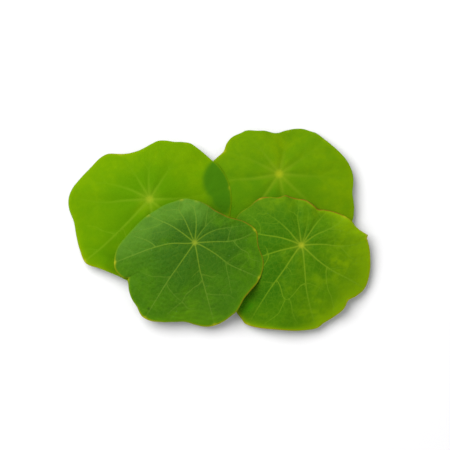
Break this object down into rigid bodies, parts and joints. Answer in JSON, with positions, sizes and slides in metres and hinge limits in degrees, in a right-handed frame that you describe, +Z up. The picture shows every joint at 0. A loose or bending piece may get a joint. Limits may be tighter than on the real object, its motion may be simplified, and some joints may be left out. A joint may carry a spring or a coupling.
{
  "type": "bunch of nasturtium leaves",
  "caption": "Bunch of round, shallow-lobed, ribbed nasturtium leaves, overlapping face up, with their cut stalks side by side beneath.",
  "frame": {"origin": "on the surface the bunch lies on, under the middle of its outline as seen from above", "axes": "+X to the right and +Y to the back of the bunch as the picture shows it, +Z up, out of the leaves' faces"},
  "size_m": [0.133, 0.0891, 0.0157],
  "materials": {
    "back_left_blade": "matte",
    "back_right_blade": "matte",
    "front_left_blade": "matte",
    "front_right_blade": "matte",
    "stalk": "satin"
  },
  "bodies": {
    "root": {"blade_back_left": "back_left_blade", "stalk_back_left": "stalk", "blade_back_right": "back_right_blade", "stalk_back_right": "stalk", "blade_front_left": "front_left_blade", "stalk_front_left": "stalk", "blade_front_right": "front_right_blade", "stalk_front_right": "stalk"}
  },
  "joints": []
}
